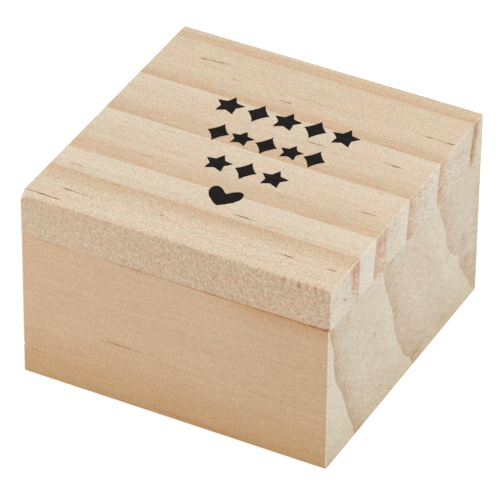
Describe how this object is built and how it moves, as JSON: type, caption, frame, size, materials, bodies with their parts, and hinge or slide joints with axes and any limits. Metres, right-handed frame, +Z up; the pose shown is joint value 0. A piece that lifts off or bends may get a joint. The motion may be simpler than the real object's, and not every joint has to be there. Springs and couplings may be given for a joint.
{
  "type": "keepsake box",
  "caption": "Square pine keepsake box for milk teeth: routed block body and flat glued-up lid that swivels on a hidden corner screw and shuts on magnets.",
  "frame": {"origin": "middle of the base, on the surface that the box stands on", "axes": "+Z up, +X to the right along the grain, +Y to the back, so the front faces -Y"},
  "size_m": [0.0704, 0.0701, 0.0448],
  "materials": {
    "pine_block": "sanded, unvarnished",
    "pine_board": "sanded, unvarnished",
    "pine_strip": "sanded, unvarnished",
    "zinc_plated_steel": "zinc plated",
    "brass": "turned",
    "nickel_plate": "nickel plated"
  },
  "bodies": {
    "box": {"box_body": "pine_block", "pivot_washer": "zinc_plated_steel", "body_magnet": "nickel_plate"},
    "lid": {"lid_board": "pine_board", "lid_front_strip": "pine_strip", "lid_insert": "brass", "lid_magnet": "nickel_plate", "pivot_screw": "zinc_plated_steel"}
  },
  "joints": [
    {"name": "lid_swivel", "type": "hinge", "parent": "box", "child": "lid", "pos_m": [-0.0265, 0.0265, 0.0348], "axis": [0, 0, 1], "continuous": true}
  ]
}
